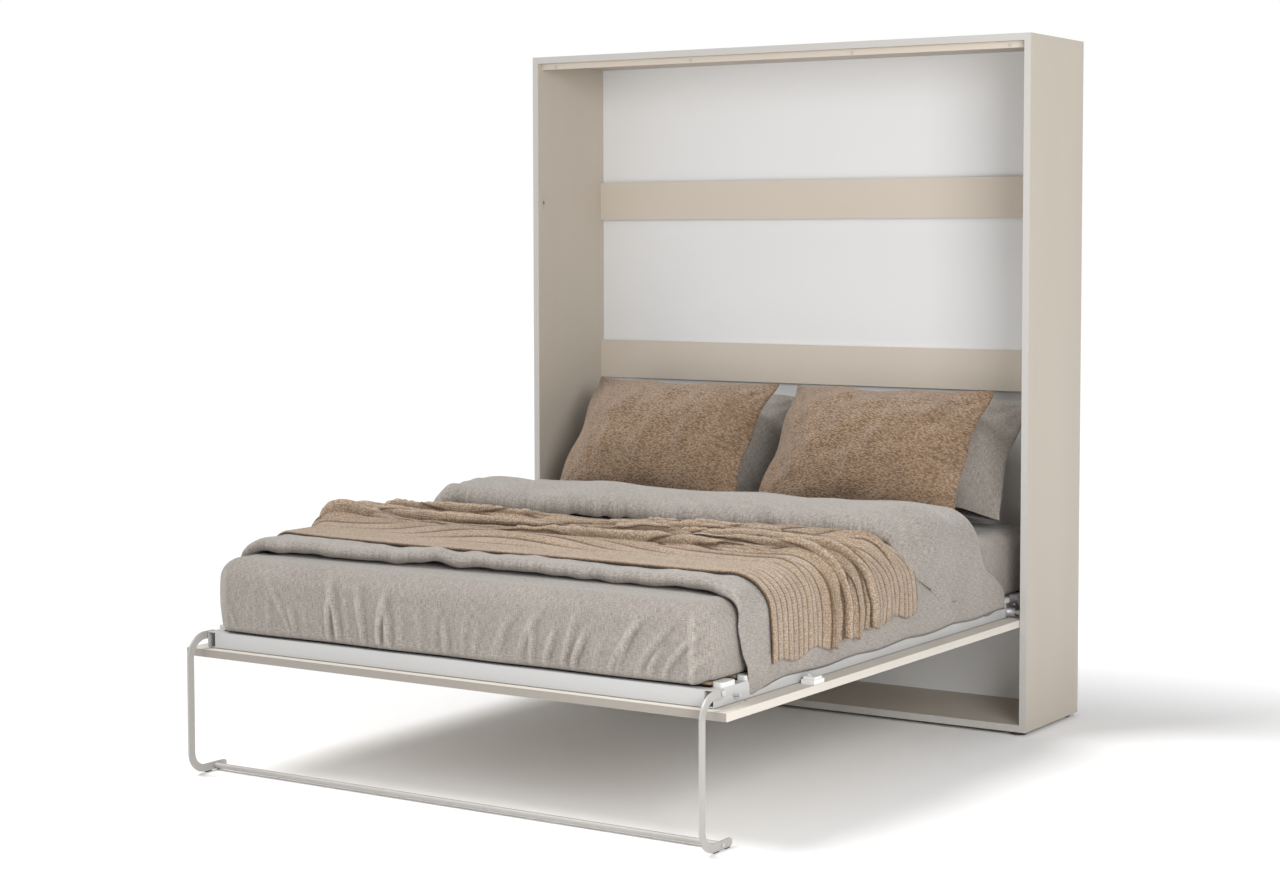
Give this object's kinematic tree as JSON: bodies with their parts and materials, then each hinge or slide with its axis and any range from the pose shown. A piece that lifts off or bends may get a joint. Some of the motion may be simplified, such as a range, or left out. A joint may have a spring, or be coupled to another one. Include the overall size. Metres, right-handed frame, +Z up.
{
  "type": "vertical wall bed",
  "caption": "Double bed with a slatted steel frame that tilts up into a shallow wall cabinet, held by gas springs and carried at the foot by a folding leg, made up with bedding.",
  "frame": {"origin": "on the floor, under the middle of the object's box with the bed lowered", "axes": "+X to the right when facing the cabinet, +Y towards the wall, +Z up"},
  "size_m": [1.88, 2.174, 2.17],
  "materials": {
    "cabinet_board": "matte melamine-faced board in warm pale grey",
    "back_board": "thin matte white board",
    "panel_board": "matte melamine-faced board in warm white",
    "slat_wood": "clear-lacquered laminated beech",
    "frame_paint": "satin white powder coat",
    "leg_paint": "satin pale grey powder coat",
    "zinc": "bright zinc-plated steel",
    "spring_paint": "satin black paint",
    "spring_rod": "hard-chromed and polished",
    "bush_plastic": "matte black acetal",
    "cap_plastic": "matte white polypropylene",
    "latch_plastic": "white moulded plastic",
    "foot_plastic": "matte dark brown plastic",
    "rubber": "matte black rubber",
    "felt": "pale grey pressed felt",
    "bed_linen": "washed greige linen, soft and matte",
    "throw_knit": "ribbed camel knit",
    "pillow_knit": "coarse camel knit"
  },
  "bodies": {
    "cabinet": {"side_left": "cabinet_board", "side_right": "cabinet_board", "top_panel": "cabinet_board", "bottom_panel": "cabinet_board", "back_panel": "back_board", "back_rail_lower": "cabinet_board", "back_rail_upper": "cabinet_board", "stop_rail": "cabinet_board", "stop_bumpers": "felt", "carcass_screws": "zinc", "levelling_feet": "foot_plastic", "hinge_plates": "zinc", "hinge_pins": "zinc", "spring_anchors": "zinc", "plate_screws": "zinc", "strike_plates": "zinc"},
    "bed": {"front_board_1": "panel_board", "front_board_2": "panel_board", "front_board_3": "panel_board", "front_board_4": "panel_board", "side_rail_left": "frame_paint", "side_rail_right": "frame_paint", "foot_rail": "frame_paint", "head_rail": "frame_paint", "centre_rail": "frame_paint", "rail_spacers": "bush_plastic", "rail_screws": "zinc", "slats": "slat_wood", "slat_caps": "cap_plastic", "slat_centre_caps": "cap_plastic", "tilt_bracket_left": "zinc", "tilt_bracket_right": "zinc", "tilt_bushes": "bush_plastic", "bracket_bolts": "zinc", "leg_pivot_bolts": "zinc", "leg_washers": "bush_plastic", "latch_body_left": "latch_plastic", "latch_body_right": "latch_plastic", "mattress": "bed_linen", "duvet": "bed_linen", "duvet_turnback": "bed_linen", "knit_throw": "throw_knit", "knit_pillow_left": "pillow_knit", "knit_pillow_right": "pillow_knit", "linen_pillow_left": "bed_linen", "linen_pillow_right": "bed_linen"},
    "leg": {"leg_left": "leg_paint", "leg_right": "leg_paint", "leg_crossbar": "leg_paint", "crossbar_bolts": "zinc", "leg_pads": "rubber"},
    "stop_pin_left": {"stop_pin_left": "zinc"},
    "stop_pin_right": {"stop_pin_right": "zinc"},
    "spring_cylinder_left": {"spring_cylinder_left": "spring_paint"},
    "spring_cylinder_right": {"spring_cylinder_right": "spring_paint"},
    "spring_rod_left": {"spring_rod_left": "spring_rod"},
    "spring_rod_right": {"spring_rod_right": "spring_rod"},
    "latch_left": {"latch_bolt_left": "latch_plastic"},
    "latch_right": {"latch_bolt_right": "latch_plastic"}
  },
  "joints": [
    {"name": "bed_tilt", "type": "hinge", "parent": "cabinet", "child": "bed", "pos_m": [0, 0.725, 0.38], "axis": [-1, 0, 0], "range_deg": [0, 90], "deforming": ["knit_pillow_left", "knit_pillow_right", "linen_pillow_left", "linen_pillow_right"]},
    {"name": "leg_fold", "type": "hinge", "parent": "bed", "child": "leg", "pos_m": [0, -0.983, 0.4], "axis": [-1, 0, 0], "range_deg": [0, 225]},
    {"name": "spring_swing_left", "type": "hinge", "parent": "cabinet", "child": "spring_cylinder_left", "pos_m": [-0.89, 0.985, 0.8], "axis": [-1, 0, 0], "range_deg": [0, 5.2]},
    {"name": "spring_extend_left", "type": "slide", "parent": "spring_cylinder_left", "child": "spring_rod_left", "axis": [0, -0.3437, -0.9391], "range_m": [0, 0.15]},
    {"name": "stop_pin_draw_left", "type": "slide", "parent": "bed", "child": "stop_pin_left", "axis": [1, 0, 0], "range_m": [0, 0.028]},
    {"name": "latch_slide_left", "type": "slide", "parent": "bed", "child": "latch_left", "axis": [-1, 0, 0], "range_m": [0, 0.014]},
    {"name": "spring_swing_right", "type": "hinge", "parent": "cabinet", "child": "spring_cylinder_right", "pos_m": [0.89, 0.985, 0.8], "axis": [-1, 0, 0], "range_deg": [0, 5.2]},
    {"name": "spring_extend_right", "type": "slide", "parent": "spring_cylinder_right", "child": "spring_rod_right", "axis": [0, -0.3437, -0.9391], "range_m": [0, 0.15]},
    {"name": "stop_pin_draw_right", "type": "slide", "parent": "bed", "child": "stop_pin_right", "axis": [-1, 0, 0], "range_m": [0, 0.028]},
    {"name": "latch_slide_right", "type": "slide", "parent": "bed", "child": "latch_right", "axis": [1, 0, 0], "range_m": [0, 0.014]}
  ],
  "couplings": [
    {"joint": "leg_fold", "follows": "bed_tilt", "ratio": 2.5},
    {"joint": "spring_swing_left", "follows": "bed_tilt", "ratio": 0.0573},
    {"joint": "spring_extend_left", "follows": "bed_tilt", "m_per_rad": 0.0951},
    {"joint": "stop_pin_draw_left", "follows": "bed_tilt", "m_per_rad": 0.0175},
    {"joint": "spring_swing_right", "follows": "bed_tilt", "ratio": 0.0573},
    {"joint": "spring_extend_right", "follows": "bed_tilt", "m_per_rad": 0.0951},
    {"joint": "stop_pin_draw_right", "follows": "bed_tilt", "m_per_rad": 0.0175}
  ]
}
